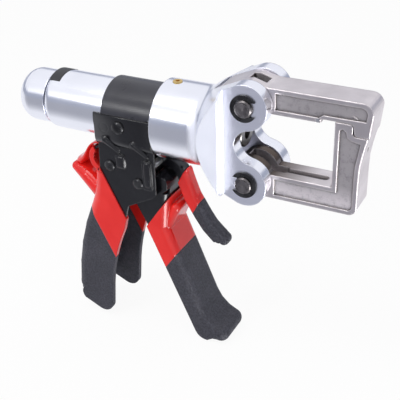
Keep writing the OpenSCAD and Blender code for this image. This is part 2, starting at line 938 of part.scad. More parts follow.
// Small lever in front that opens the release valve
module release_lever() {
  color([0.09, 0.09, 0.10])
    difference() {
      union() {
        release_shell(0);
        side(-release_y + 0.1, release_y - 0.1)
          polygon([[-78.5, -26.2], [-73, -26.2], [-72, -28.6], [-78.5, -30]]);
      }
      ycyl(release_p, release_pin_r + run_c, -40, 40);
    }
}

// Glossy red dip on the release lever
module release_red_coat() {
  color([0.80, 0.08, 0.08])
    intersection() {
      difference() {
        release_shell(coat_t);
        release_shell(0);
      }
      difference() {
        dip(release_red, release_dip);
        dip(release_grey, release_dip);
      }
    }
}

// Dark grey second dip on the tip of the release lever
module release_grey_tip() {
  color([0.22, 0.22, 0.24])
    intersection() {
      difference() {
        release_shell(coat_t);
        release_shell(0);
      }
      dip(release_grey, release_dip);
    }
}

// Pin that lifts the release valve off its seat
module release_pin() {
  color([0.60, 0.60, 0.62])
    zcyl(valve_x, valve_r, -25.4, -10);
}

// Side outline of the upper jaw, closed: hub, tail, arm and front hook
module upper_profile() {
  h = part_c / 2;
  polygon(concat(
    [[-20, tan_p[1] - 6.4], [tan_p[0], tan_p[1] - 0.5], [0, pz + hub_r + 0.1], [9.9, hz]],
    arc([head_x - 5.2, hz - 7], 7, 90, 8, 6),
    [[head_x + 0.2, 15 + h], [64.4, 15 + h], [63.2 + h, 16.2 + h], [62.6 + h, 20.6]],
    arc([60.6, 20.2], 2 + h, 0, 90, 4),
    [[43.4, wz + 2.2 + h], [43.4, wz], [12.4, wz]],
    arc([0, pz], hub_r, -24, -152, 16),
    [[-14.5, pz - 2.5], [-20, pz + 2.2]]));
}

// Raised rim and sunk panel on both sides of the upper jaw
module upper_panel() {
  polygon(concat([[15.6, wz + 2.8], [15.6, hz - 2.8]],
    arc([head_x - 5.6, hz - 6.8], 4, 90, 8, 4),
    [[head_x - 2.2, 25], [58, 24.8], [44.6, wz + 4.8], [42, wz + 2.8]]));
}

// Middle slot through a jaw hub, clear of the arm in front of it
module hub_slot() {
  side(-hub_slot_w / 2, hub_slot_w / 2)
    polygon([[-3.6, pz + 30], [7.6, pz + 30], [7.6, pz + 7.4], [20.5, wz + 5.5], [20.5, 0],
      [-3.6, 0]]);
}

// Guide groove with a round end in the window face of a jaw
module guide_groove() {
  translate([18, -groove_w / 2, wz - 5])
    cube([window_x - 5 - groove_w / 2 - 18, groove_w, groove_d + 5]);
  translate([window_x - 5 - groove_w / 2, 0, wz - 5])
    cylinder(r = groove_w / 2, h = groove_d + 5);
}

// Upper jaw, swung up to open the head
module upper_jaw() {
  color([0.62, 0.60, 0.58])
    difference() {
      side(-jy, jy)
        upper_profile();
      both(jy - panel_d, jy + 1)
        upper_panel();
      ycyl([0, pz], pin_r + run_c, -30, 30);
      ycyl([41.6, wz + 1.2], 1.21, -30, 30);
      hub_slot();
      guide_groove();
    }
}

// Side outline of the lower jaw: hub, tail, arm and front wall with its step
module lower_profile() {
  h = part_c / 2;
  polygon(concat(
    [[-20, -tan_p[1] + 6.4], [-20, -pz - 2.2], [-14.5, -pz + 2.5]],
    arc([0, -pz], hub_r, 152, 24, 16),
    [[12.4, -wz], [window_x, -wz], [window_x, wz + 2.2 - h]],
    arc([60.6, 20.2], 2 - h, 90, 0, 4),
    [[62.6 - h, 16.2 - h], [64.2 - h, 15 - h], [head_x - 0.4, 15 - h], [head_x - 1.3, 11.5],
     [head_x - 2.7, 5], [head_x - 4, -3.5], [head_x - 4.3, -12]],
    arc([head_x - 9.3, -hz + 5], 5, 0, -90, 6),
    [[9.9, -hz], [0, -pz - hub_r - 0.1], [tan_p[0], -tan_p[1] + 0.5]]));
}

// Raised rim and sunk panel on both sides of the lower jaw
module lower_panel() {
  polygon(concat([[15.6, -hz + 2.6]],
    arc([head_x - 10.2, -hz + 5.6], 3, -90, 0, 4),
    [[head_x - 7.2, -12], [head_x - 6.9, -3], [head_x - 5.4, 6], [head_x - 4.6, 11], [62, 12],
     [59.6, 13.4], [58.6, 17], [56.6, 18.4], [window_x + 2.8, 17.4],
     [window_x + 2.8, -wz - 2.8], [15.6, -wz - 2.8]]));
}

// Lower jaw, latched behind the hook of the upper one
module lower_jaw() {
  color([0.62, 0.60, 0.58])
    difference() {
      side(-jy, jy)
        lower_profile();
      both(jy - panel_d, jy + 1)
        lower_panel();
      ycyl([0, -pz], pin_r + run_c, -30, 30);
      mirror([0, 0, 1]) {
        hub_slot();
        guide_groove();
      }
      translate([head_x - 3.2, -1, 0.5])
        cube([6, 1.8, 5]);
    }
}

// Small cross pin at the step of the upper jaw that stops the die
module die_stop_pin() {
  color([0.66, 0.66, 0.68])
    ycyl([41.6, wz + 1.2], 1.2, -jy - 0.2, jy + 0.2);
}

body();
reservoir_tube();
end_cap();
oil_bladder();
filler_plug();
label_band();
collar_strap();
handle_frame();
frame_red_coat();
frame_grey_grip();
plate_rivet();
plate_spacer();
lever_pivot();
pivot_spacers();
collar_bolts();
upper_pin();
lower_pin();
e_clips();
pump_gland();
valve_bush();
release_pivot();
rod_wiper();
ram();
piston_seal();
ram_spring();
pump_lever();
lever_red_coat();
lever_grey_grip();
push_pin();
plunger();
plunger_seal();
plunger_spring();
release_lever();
release_red_coat();
release_grey_tip();
release_pin();
upper_jaw();
lower_jaw();
die_stop_pin();
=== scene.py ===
import math

import bpy
import numpy as np
from mathutils import Matrix, Vector


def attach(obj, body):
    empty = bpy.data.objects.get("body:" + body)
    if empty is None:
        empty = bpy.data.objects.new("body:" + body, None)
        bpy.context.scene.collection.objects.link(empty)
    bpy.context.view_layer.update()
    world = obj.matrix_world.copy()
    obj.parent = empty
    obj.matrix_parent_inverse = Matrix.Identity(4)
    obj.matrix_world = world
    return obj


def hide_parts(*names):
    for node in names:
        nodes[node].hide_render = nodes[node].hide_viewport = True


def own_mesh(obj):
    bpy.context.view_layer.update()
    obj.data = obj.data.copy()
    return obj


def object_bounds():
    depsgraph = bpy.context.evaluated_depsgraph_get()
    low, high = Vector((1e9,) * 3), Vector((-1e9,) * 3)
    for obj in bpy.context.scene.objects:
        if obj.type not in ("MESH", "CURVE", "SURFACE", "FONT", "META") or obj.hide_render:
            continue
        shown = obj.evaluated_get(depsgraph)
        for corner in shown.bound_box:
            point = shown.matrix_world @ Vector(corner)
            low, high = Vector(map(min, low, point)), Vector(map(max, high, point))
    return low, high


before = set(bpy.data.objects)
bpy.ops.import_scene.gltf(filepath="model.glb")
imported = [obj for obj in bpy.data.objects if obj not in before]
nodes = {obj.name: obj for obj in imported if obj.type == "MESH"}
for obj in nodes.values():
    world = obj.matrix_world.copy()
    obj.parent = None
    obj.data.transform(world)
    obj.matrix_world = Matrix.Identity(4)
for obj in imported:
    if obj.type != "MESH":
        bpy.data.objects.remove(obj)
cad_box = [list(corner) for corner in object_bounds()]

# Cylinder body: one turned bar of aluminium with a fork milled at its front. The barrel keeps
# fine rings from the lathe, and the two cheeks of the fork are flat milled, greyer and streaked.


def add(tree, kind, inputs=None, **settings):
    """Adds one shader node. An input given as a socket is linked, any other value is set on it."""
    node = tree.nodes.new("ShaderNode" + kind)
    for key, value in settings.items():
        setattr(node, key, value)
    for key, value in (inputs or {}).items():
        if isinstance(value, bpy.types.NodeSocket):
            tree.links.new(value, node.inputs[key])
        else:
            node.inputs[key].default_value = value
    return node


def effect(name, inputs, outputs):
    """Starts a shader node group with named float or vector inputs and float outputs."""
    tree = bpy.data.node_groups.new(name, "ShaderNodeTree")
    for key, kind in inputs.items():
        tree.interface.new_socket(name=key, in_out="INPUT", socket_type="NodeSocket" + kind)
    for key in outputs:
        tree.interface.new_socket(name=key, in_out="OUTPUT", socket_type="NodeSocketFloat")
    return tree, tree.nodes.new("NodeGroupInput").outputs, tree.nodes.new("NodeGroupOutput").inputs


def streaks_effect():
    """Streaks: noise on coordinates stretched by a vector, so it runs in lines along one axis."""
    tree, given, out = effect("streaks", {"Vector": "Vector", "Stretch": "Vector"}, ["Height"])
    stretched = add(tree, "VectorMath", {0: given["Vector"], 1: given["Stretch"]}, operation="MULTIPLY")
    noise = add(tree, "TexNoise", {"Vector": stretched.outputs[0], "Scale": 1.0, "Detail": 3.0})
    tree.links.new(noise.outputs["Fac"], out["Height"])
    return tree


def handling_effect():
    """Handling: soft cloudy patches, where hands and oil have left the surface a little duller."""
    tree, given, out = effect("handling", {"Vector": "Vector", "Size": "Float"}, ["Mask"])
    noise = add(tree, "TexNoise", {"Vector": given["Vector"], "Scale": given["Size"], "Detail": 4.0})
    spread = add(tree, "MapRange", {"Value": noise.outputs["Fac"], "From Min": 0.38, "From Max": 0.66})
    tree.links.new(spread.outputs["Result"], out["Mask"])
    return tree


streaks, handling = streaks_effect(), handling_effect()


def use(tree, group, **inputs):
    """Places a finished effect in a material with its own values."""
    node = add(tree, "Group", node_tree=group)
    for key, value in inputs.items():
        if isinstance(value, bpy.types.NodeSocket):
            tree.links.new(value, node.inputs[key])
        else:
            node.inputs[key].default_value = value
    return node.outputs[0]


def surface(name, metallic=0.0, specular=0.5):
    """Starts a material: its tree, its shader, and Object coordinates in metres."""
    material = bpy.data.materials.new(name)
    material.use_nodes = True
    tree = material.node_tree
    shader = tree.nodes["Principled BSDF"]
    shader.inputs["Metallic"].default_value = metallic
    shader.inputs["Specular IOR Level"].default_value = specular
    return material, tree, shader, tree.nodes.new("ShaderNodeTexCoord").outputs


def blend_colour(tree, mask, low, high):
    """Colour that goes from low to high with the mask."""
    return add(tree, "Mix", {0: mask, 6: (*low, 1) if isinstance(low, tuple) else low,
                             7: (*high, 1) if isinstance(high, tuple) else high},
               data_type="RGBA").outputs[2]


def between(tree, mask, low, high):
    """Value that goes from low to high with the mask."""
    return add(tree, "MapRange", {"Value": mask, "To Min": low, "To Max": high}).outputs["Result"]


def relief(tree, shader, height, depth, strength, edge):
    """Bump of the given depth in metres, on edges that are broken to the given radius."""
    broken = add(tree, "Bevel", {"Radius": edge}, samples=6)
    bump = add(tree, "Bump", {"Height": height, "Distance": depth, "Strength": strength,
                              "Normal": broken.outputs["Normal"]})
    tree.links.new(bump.outputs["Normal"], shader.inputs["Normal"])


def dress(material, *names):
    """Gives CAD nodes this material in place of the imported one."""
    for name in names:
        nodes[name].data.materials.clear()
        nodes[name].data.materials.append(material)


barrel, tree, shader, coords = surface("satin_aluminium", metallic=1.0)
rings = use(tree, streaks, Vector=coords["Object"], Stretch=(5200, 40, 40))
dull = use(tree, handling, Vector=coords["Object"], Size=26.0)
tint = blend_colour(tree, dull, (0.87, 0.88, 0.93), (0.92, 0.93, 0.97))
tree.links.new(tint, shader.inputs["Base Color"])
rough = add(tree, "Math", {0: between(tree, rings, 0.12, 0.22), 1: between(tree, dull, 0.0, 0.04)},
            operation="ADD").outputs[0]
tree.links.new(rough, shader.inputs["Roughness"])
relief(tree, shader, rings, 0.00003, 0.2, 0.0005)

fork, tree, shader, coords = surface("fork_aluminium", metallic=1.0)
rings = use(tree, streaks, Vector=coords["Object"], Stretch=(5200, 40, 40))
milled = use(tree, streaks, Vector=coords["Object"], Stretch=(90, 90, 3600))
facing = add(tree, "SeparateXYZ", {0: coords["Normal"]}).outputs["Y"]
sideways = add(tree, "Math", {0: facing}, operation="ABSOLUTE").outputs[0]
upright = add(tree, "MapRange", {"Value": sideways, "From Min": 0.97, "From Max": 0.995}).outputs["Result"]
across = add(tree, "SeparateXYZ", {0: coords["Object"]}).outputs["Y"]
half = add(tree, "Math", {0: across}, operation="ABSOLUTE").outputs[0]
inner = add(tree, "MapRange", {"Value": half, "From Min": 0.0215, "From Max": 0.0205}).outputs["Result"]
cheek = add(tree, "Math", {0: upright, 1: inner}, operation="MULTIPLY").outputs[0]
dull = use(tree, handling, Vector=coords["Object"], Size=30.0)
bright = blend_colour(tree, dull, (0.87, 0.88, 0.93), (0.92, 0.93, 0.97))
greyer = blend_colour(tree, milled, (0.80, 0.81, 0.90), (0.92, 0.93, 1.0))
tint = blend_colour(tree, cheek, bright, greyer)
tree.links.new(tint, shader.inputs["Base Color"])
lathe = between(tree, rings, 0.13, 0.24)
mill = between(tree, milled, 0.24, 0.40)
along = add(tree, "SeparateXYZ", {0: coords["Object"]}).outputs["X"]
flared = add(tree, "MapRange", {"Value": along, "From Min": -0.036, "From Max": -0.032}).outputs["Result"]
turned_in = add(tree, "MapRange", {"Value": sideways, "From Min": 0.70, "From Max": 0.90}).outputs["Result"]
blasted = add(tree, "Math", {0: flared, 1: turned_in}, operation="MULTIPLY").outputs[0]
soft = add(tree, "Math", {0: blasted, 1: 0.55, 2: lathe}, operation="MULTIPLY_ADD").outputs[0]
rough = add(tree, "Mix", {0: cheek, 2: soft, 3: mill}).outputs[0]
tree.links.new(rough, shader.inputs["Roughness"])
marks = add(tree, "Mix", {0: cheek, 2: rings, 3: milled}).outputs[0]
relief(tree, shader, marks, 0.00004, 0.25, 0.0008)
dress(fork, "body")

# Ram, plunger and valve pin: ground steel rods that slide in the body, with their rubber rings
# and drawn wire springs. The plunger's is a cone, so its turns nest when the lever is pulled.
# Only the end of the ram shows, in the notch of the fork.

ground_steel_shaded, tree, shader, coords = surface("ground_steel_painted_shade", metallic=1.0)
lines = use(tree, streaks, Vector=coords["Object"], Stretch=(3000, 3000, 120))
# Painted shade: the steel is coloured far darker than bare ground steel, as the shade in the fork's notch
# where the ram shows.
tint = blend_colour(tree, lines, (0.22, 0.21, 0.20), (0.34, 0.33, 0.32))
tree.links.new(tint, shader.inputs["Base Color"])
tree.links.new(between(tree, lines, 0.20, 0.40), shader.inputs["Roughness"])
relief(tree, shader, lines, 0.00003, 0.2, 0.0003)
dress(ground_steel_shaded, "ram", "plunger", "release_pin", "ram_spring", "plunger_spring")


def closed(name, rows, material):
    """Closed skin over rows of points: each row is a ring, the first and last are closed by a fan."""
    count, ring = rows.shape[:2]
    here = (np.arange(count - 1)[:, None] * ring + np.arange(ring)).ravel()
    ahead = (np.arange(count - 1)[:, None] * ring + (np.arange(ring) + 1) % ring).ravel()
    quads = np.stack([here, ahead, ahead + ring, here + ring], axis=-1)
    ends = [np.arange(ring)[::-1].tolist(), ((count - 1) * ring + np.arange(ring)).tolist()]
    mesh = bpy.data.meshes.new(name)
    mesh.from_pydata(rows.reshape(-1, 3).tolist(), [], quads.tolist() + ends)
    mesh.shade_smooth()
    mesh.materials.append(material)
    piece = bpy.data.objects.new(name, mesh)
    bpy.context.scene.collection.objects.link(piece)
    return piece


def coil_rows(axis, low, high, narrow, wide, turns, wire):
    """Cone spring: a ring of wire carried up a helix about z, whose radius grows evenly with height."""
    part = np.linspace(0, 1, int(turns * 40) + 1)[:, None]
    turn = 2 * np.pi * turns * part
    around = np.linspace(0, -2 * np.pi, 13)[:-1]
    reach = narrow + (wide - narrow) * part + wire * np.cos(around)
    height = low + (high - low) * part + wire * np.sin(around)
    return np.stack([axis[0] + reach * np.cos(turn), axis[1] + reach * np.sin(turn), height], axis=-1)


rows = coil_rows((-0.0865, 0.0), -0.0316, -0.0259, 0.0053, 0.0079, 2.5, 0.0005)
coil = closed("plunger_coil", rows, ground_steel_shaded)
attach(coil, "tool_frame")
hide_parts("plunger_spring")
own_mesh(coil)


def grain_effect():
    """Grain: two sizes of noise added, for cast skin, orange peel and the tooth of dipped vinyl."""
    tree, given, out = effect("grain", {"Vector": "Vector", "Size": "Float"}, ["Height"])
    fine = add(tree, "TexNoise", {"Vector": given["Vector"], "Scale": given["Size"], "Detail": 2.0})
    wider = add(tree, "Math", {0: given["Size"], 1: 0.27}, operation="MULTIPLY")
    coarse = add(tree, "TexNoise", {"Vector": given["Vector"], "Scale": wider.outputs[0], "Detail": 1.0})
    both = add(tree, "Math", {0: coarse.outputs["Fac"], 1: fine.outputs["Fac"]}, operation="ADD")
    tree.links.new(both.outputs[0], out["Height"])
    return tree


grain = grain_effect()
rubber, tree, shader, coords = surface("seal_rubber")
speck = use(tree, grain, Vector=coords["Object"], Size=1800.0)
tint = blend_colour(tree, speck, (0.012, 0.012, 0.012), (0.03, 0.03, 0.03))
tree.links.new(tint, shader.inputs["Base Color"])
shader.inputs["Roughness"].default_value = 0.65
relief(tree, shader, speck, 0.00005, 0.2, 0.0002)
dress(rubber, "rod_wiper", "piston_seal", "plunger_seal", "oil_bladder")

# Oil tube and rear cap: thin drawn aluminium tube pushed over the body, closed by a turned cap
# with a rounded rim. Both have the same lathe rings as the barrel.

dress(barrel, "reservoir_tube", "end_cap")

# Filler plug, pump gland and valve bush: brass turned from bar and screwed into the body. They
# keep the fine rings of the tool.

brass, tree, shader, coords = surface("turned_brass", metallic=1.0)
rings = use(tree, streaks, Vector=coords["Object"], Stretch=(2500, 2500, 2500))
tint = blend_colour(tree, rings, (0.62, 0.42, 0.13), (0.80, 0.58, 0.22))
tree.links.new(tint, shader.inputs["Base Color"])
tree.links.new(between(tree, rings, 0.18, 0.36), shader.inputs["Roughness"])
dress(brass, "filler_plug", "pump_gland", "valve_bush")

# Label: a strip of black plastic film with glue on its back, wrapped over the top of the tube.
# It is matt with a fine grain, and cut off square at both ends.

film, tree, shader, coords = surface("black_film")
speck = use(tree, grain, Vector=coords["Object"], Size=900.0)
tint = blend_colour(tree, speck, (0.010, 0.010, 0.011), (0.020, 0.020, 0.022))
tree.links.new(tint, shader.inputs["Base Color"])
tree.links.new(between(tree, speck, 0.34, 0.44), shader.inputs["Roughness"])
dress(film, "label_band")

# Strap and handle frame: pressed steel sheet, stove painted black. The strap goes over the tube,
# the frame's saddles under it, and both are riveted and bolted together.


def ring_mark_effect():
    """Ring mark: one shallow circle where an electrode pressed, by distance in x and z from a centre."""
    tree, given, out = effect("ring_mark", {"Vector": "Vector", "Centre": "Vector", "Radius": "Float"},
                              ["Height"])
    offset = add(tree, "VectorMath", {0: given["Vector"], 1: given["Centre"]}, operation="SUBTRACT")
    flat = add(tree, "VectorMath", {0: offset.outputs[0], 1: (1, 0, 1)}, operation="MULTIPLY")
    reach = add(tree, "VectorMath", {0: flat.outputs[0]}, operation="LENGTH").outputs["Value"]
    away = add(tree, "Math", {0: reach, 1: given["Radius"]}, operation="SUBTRACT").outputs[0]
    off = add(tree, "Math", {0: away}, operation="ABSOLUTE").outputs[0]
    dip = add(tree, "MapRange", {"Value": off, "From Min": 0.0, "From Max": 0.0006},
              interpolation_type="SMOOTHSTEP")
    tree.links.new(dip.outputs["Result"], out["Height"])
    return tree


ring_mark = ring_mark_effect()
paint, tree, shader, coords = surface("black_paint", specular=0.5)
rear_weld = use(tree, ring_mark, Vector=coords["Object"], Centre=(-0.0978, 0, -0.0048), Radius=0.0032)
front_weld = use(tree, ring_mark, Vector=coords["Object"], Centre=(-0.0764, 0, -0.0043), Radius=0.0032)
peel = use(tree, grain, Vector=coords["Object"], Size=520.0)
dull = use(tree, handling, Vector=coords["Object"], Size=38.0)
tint = blend_colour(tree, dull, (0.005, 0.005, 0.007), (0.010, 0.010, 0.013))
tree.links.new(tint, shader.inputs["Base Color"])
tree.links.new(between(tree, dull, 0.16, 0.26), shader.inputs["Roughness"])
welds = add(tree, "Math", {0: rear_weld, 1: front_weld}, operation="ADD").outputs[0]
skin = add(tree, "Math", {0: peel, 1: 0.10, 2: welds}, operation="MULTIPLY_ADD").outputs[0]
relief(tree, shader, skin, 0.00025, 0.30, 0.0010)
dress(paint, "handle_frame", "pump_lever", "release_lever")

satin, tree, shader, coords = surface("satin_paint", specular=0.5)
peel = use(tree, grain, Vector=coords["Object"], Size=900.0)
dull = use(tree, handling, Vector=coords["Object"], Size=38.0)
tint = blend_colour(tree, dull, (0.026, 0.026, 0.033), (0.038, 0.038, 0.048))
tree.links.new(tint, shader.inputs["Base Color"])
tree.links.new(between(tree, dull, 0.26, 0.36), shader.inputs["Roughness"])
relief(tree, shader, peel, 0.00005, 0.30, 0.0010)
dress(satin, "collar_strap")


def saddle_rows(side):
    """Pressed wall of a saddle: round at the top, upright, then rolled in; one section carried along x."""
    top, roll = np.linspace(0.2, 0, 6)[:, None], np.linspace(0, 0.80, 12)[:, None]
    outer = np.vstack([0.02143 * np.hstack([np.cos(top), np.sin(top)]), [[0.02143, -0.0060]],
                       [0.01343, -0.0123] + 0.0080 * np.hstack([np.cos(roll), -np.sin(roll)]),
                       [[0.0186, -0.0183], [0.0184, -0.0120], [0.0203, -0.0030], [0.0203, 0.0038]]])
    x = np.array([-0.1054, -0.1051, -0.0633, -0.0630])
    inset = np.array([0.0003, 0.0, 0.0, 0.0003])[:, None]
    section = outer if side < 0 else outer[::-1]
    y = side * (section[:, 0] - inset)
    return np.stack(np.broadcast_arrays(x[:, None], y, section[:, 1]), axis=-1)


def tear_rows(start, finish, wide, narrow):
    """Tear drop: circles strung on a line, full at the round upper end and thin at the lower end."""
    start, finish = np.array(start), np.array(finish)
    axis = (finish - start) / np.linalg.norm(finish - start)
    first = np.cross(axis, [0.6, 0.0, 0.8] if abs(axis[1]) > 0.9 else [0.0, 1.0, 0.0])
    first /= np.linalg.norm(first)
    second = np.cross(axis, first)
    turn = np.linspace(0, 2 * np.pi, 33)[:-1]
    cap = np.linspace(0.04, np.pi / 2, 10)
    back = np.stack([-wide * np.cos(cap), wide * np.sin(cap)], axis=-1)
    part = np.linspace(0, 1, 16)[1:]
    length = np.linalg.norm(finish - start)
    body = np.stack([length * part, wide + (narrow - wide) * part ** 0.8], axis=-1)
    nose = np.stack([length + narrow * np.cos(cap[::-1]), narrow * np.sin(cap[::-1])], axis=-1)[1:]
    path = np.vstack([back, body, nose])
    spoke = np.cos(turn)[:, None] * first + np.sin(turn)[:, None] * second
    return start + path[:, :1, None] * axis + path[:, 1:, None] * spoke


def bead_rows(centre, wide, tall, flank, rise, side):
    """Pressed bead: rounded oblong rings that step inwards and climb an S curve to a flat top."""
    turn = np.linspace(0, 2 * np.pi, 65)[:-1]
    turn = turn if side < 0 else turn[::-1]
    across = np.sign(np.cos(turn)) * np.abs(np.cos(turn)) ** 0.45
    down = np.sign(np.sin(turn)) * np.abs(np.sin(turn)) ** 0.45
    step = np.linspace(0, 1, 10)[:, None]
    climb = rise * step * step * (3 - 2 * step)
    x = centre[0] + (wide / 2 - flank * step) * across
    z = centre[1] + (tall / 2 - flank * step) * down
    y = side * (0.0189 + climb) + 0 * x
    return np.stack([x, y, z], axis=-1)


for side, word in ((-1, "near"), (1, "far")):
    rear = bead_rows((-0.0885, -0.0287), 0.0096, 0.0116, 0.0026, 0.0016, side)
    front = bead_rows((-0.0684, -0.0341), 0.0086, 0.0214, 0.0026, 0.0016, side)
    pieces = [closed("rear_bead_" + word, rear, paint), closed("front_bead_" + word, front, paint),
              closed("saddle_wall_" + word, saddle_rows(side), paint)]
    for number, place in enumerate((-0.0975, -0.0763)):
        upper, lower = (place, side * 0.0206, -0.0130), (place + 0.0082, side * 0.0189, -0.0212)
        rows = tear_rows(upper, lower, 0.0030, 0.0014)
        pieces.append(closed("gusset_%d_%s" % (number + 1, word), rows, paint))
    for piece in pieces:
        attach(piece, "tool_frame")

# Rivets, spacers and bolts: turned and headed steel. What shows from outside is blackened, and
# the spacers and pins between the plates are zinc plated.

blackened, tree, shader, coords = surface("blackened_steel", metallic=0.55)
dull = use(tree, handling, Vector=coords["Object"], Size=160.0)
tint = blend_colour(tree, dull, (0.016, 0.016, 0.018), (0.045, 0.045, 0.048))
tree.links.new(tint, shader.inputs["Base Color"])
tree.links.new(between(tree, dull, 0.20, 0.34), shader.inputs["Roughness"])
dress(blackened, "plate_rivet", "lever_pivot", "collar_bolts", "e_clips")

zinc, tree, shader, coords = surface("zinc_plate", metallic=1.0)
dull = use(tree, handling, Vector=coords["Object"], Size=120.0)
tint = blend_colour(tree, dull, (0.55, 0.55, 0.57), (0.68, 0.68, 0.70))
tree.links.new(tint, shader.inputs["Base Color"])
tree.links.new(between(tree, dull, 0.28, 0.42), shader.inputs["Roughness"])
dress(zinc, "plate_spacer", "pivot_spacers", "release_pivot", "push_pin", "die_stop_pin")

# Dipped grips: the sheet handles are dipped first in glossy red vinyl and then, further down,
# in a thicker matt dark grey one that gives the hand a hold.

red, tree, shader, coords = surface("red_vinyl")
wobble = use(tree, grain, Vector=coords["Object"], Size=70.0)
dull = use(tree, handling, Vector=coords["Object"], Size=55.0)
tint = blend_colour(tree, dull, (0.82, 0.022, 0.018), (0.88, 0.030, 0.024))
tree.links.new(tint, shader.inputs["Base Color"])
tree.links.new(between(tree, dull, 0.08, 0.15), shader.inputs["Roughness"])
relief(tree, shader, wobble, 0.0006, 0.10, 0.0012)
dress(red, "frame_red_coat", "lever_red_coat", "release_red_coat")


def hand_web_rows():
    """Web for the hand: flat rings on a cubic curve in x and z, hollowed across y, fuller at the horn."""
    part = np.linspace(0, 1, 40)[:, None]
    knots = np.array([[-0.0985, -0.0226], [-0.1215, -0.0150], [-0.1165, -0.0358], [-0.1345, -0.0448]])
    share = np.hstack([(1 - part) ** 3, 3 * part * (1 - part) ** 2, 3 * part ** 2 * (1 - part), part ** 3])
    spine = share @ knots
    slope = np.gradient(spine, axis=0)
    slope /= np.linalg.norm(slope, axis=1, keepdims=True)
    round_end = np.sqrt(np.clip(1 - (np.clip(part - 0.90, 0, 1) / 0.1005) ** 2, 0, 1))
    wide = (0.0150 - 0.0080 * part ** 2) * (0.45 + 0.55 * round_end)
    thick = (0.0011 + 0.0027 * part ** 3) * round_end
    turn = np.linspace(0, -2 * np.pi, 49)[:-1]
    across = np.sign(np.cos(turn)) * np.abs(np.cos(turn)) ** 0.7
    lift = thick * np.sin(turn) - 0.0014 * (1 - part) * (1 - across ** 2)
    x = spine[:, :1] + lift * slope[:, 1:]
    z = spine[:, 1:] - lift * slope[:, :1]
    return np.stack([x, wide * across, z], axis=-1)


web = closed("hand_web", hand_web_rows(), red)
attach(web, "tool_frame")

grey, tree, shader, coords = surface("grey_vinyl")
tooth = use(tree, grain, Vector=coords["Object"], Size=1150.0)
dull = use(tree, handling, Vector=coords["Object"], Size=60.0)
fine = use(tree, grain, Vector=coords["Object"], Size=2800.0)
speckle = add(tree, "MapRange", {"Value": fine, "From Min": 0.78, "From Max": 1.22}).outputs["Result"]
cleaner = blend_colour(tree, speckle, (0.022, 0.022, 0.030), (0.050, 0.050, 0.066))
dustier = blend_colour(tree, speckle, (0.030, 0.030, 0.040), (0.064, 0.063, 0.082))
tint = blend_colour(tree, dull, cleaner, dustier)
tree.links.new(tint, shader.inputs["Base Color"])
tree.links.new(between(tree, tooth, 0.42, 0.62), shader.inputs["Roughness"])
relief(tree, shader, tooth, 0.0005, 0.55, 0.0014)
dress(grey, "frame_grey_grip", "lever_grey_grip", "release_grey_tip")

for side, word in ((-1, "near"), (1, "far")):
    heel = tear_rows((-0.0335, side * 0.0126, -0.1560), (-0.0195, side * 0.0126, -0.1541), 0.0026, 0.0026)
    heel = closed("lever_drip_" + word, heel, grey)
    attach(heel, "pump_lever")
rows = tear_rows((-0.1302, -0.0125, -0.1432), (-0.1302, 0.0125, -0.1432), 0.0045, 0.0045)
toe = closed("frame_drip", rows, grey)
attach(toe, "tool_frame")
for word, x, z in (("rear", -0.0263, -0.0810), ("front", -0.0223, -0.0813)):
    rows = tear_rows((x, -0.0026, z), (x, 0.0026, z), 0.0029, 0.0029)
    tip = closed("release_drip_" + word, rows, grey)
    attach(tip, "release_lever")

# Jaws: cast steel with a dull nickel plate. The flanks keep a sandy cast skin inside a raised
# machined rim, and the hubs, window and top are milled.

cast, tree, shader, coords = surface("nickel_cast", metallic=1.0)
sand = use(tree, grain, Vector=coords["Object"], Size=1100.0)
milled = use(tree, streaks, Vector=coords["Object"], Stretch=(120, 2600, 120))
place = add(tree, "SeparateXYZ", {0: coords["Object"]}).outputs
half = add(tree, "Math", {0: place["Y"]}, operation="ABSOLUTE").outputs[0]
facing = add(tree, "SeparateXYZ", {0: coords["Normal"]}).outputs["Y"]
sideways = add(tree, "Math", {0: facing}, operation="ABSOLUTE").outputs[0]
flank = add(tree, "MapRange", {"Value": sideways, "From Min": 0.6, "From Max": 0.9}).outputs["Result"]
sunk = add(tree, "MapRange", {"Value": half, "From Min": 0.0098, "From Max": 0.0096}).outputs["Result"]
skin = add(tree, "Math", {0: flank, 1: sunk}, operation="MULTIPLY").outputs[0]
dull = use(tree, handling, Vector=coords["Object"], Size=60.0)
machined = blend_colour(tree, dull, (0.66, 0.61, 0.61), (0.78, 0.725, 0.725))
# Painted light and shade: the sandy skin is painted dark on the upper jaw and pale on the lower jaw.
lower = add(tree, "MapRange", {"Value": place["Z"], "From Min": -0.018, "From Max": -0.029}).outputs[0]
sand_painted_shade_high = blend_colour(tree, sand, (0.11, 0.10, 0.10), (0.46, 0.43, 0.435))
sand_painted_light_low = blend_colour(tree, sand, (0.30, 0.275, 0.28), (0.80, 0.745, 0.75))
sandy = blend_colour(tree, lower, sand_painted_shade_high, sand_painted_light_low)
# Painted shade: faces that look up, below the parting line and towards the hubs, take a dark brown as the
# shade inside the jaw window.
facing_up = add(tree, "SeparateXYZ", {0: coords["Normal"]}).outputs["Z"]
level = add(tree, "MapRange", {"Value": facing_up, "From Min": 0.15, "From Max": 0.55}).outputs["Result"]
below = add(tree, "MapRange", {"Value": place["Z"], "From Min": 0.002, "From Max": -0.004}).outputs[0]
inward = add(tree, "MapRange", {"Value": place["X"], "From Min": 0.040, "From Max": 0.014}).outputs[0]
window_floor_shade = add(tree, "Math", {0: level, 1: below}, operation="MULTIPLY").outputs[0]
window_floor_shade = add(tree, "Math", {0: window_floor_shade, 1: inward}, operation="MULTIPLY").outputs[0]
plain = blend_colour(tree, window_floor_shade, blend_colour(tree, skin, machined, sandy), (0.11, 0.085, 0.07))
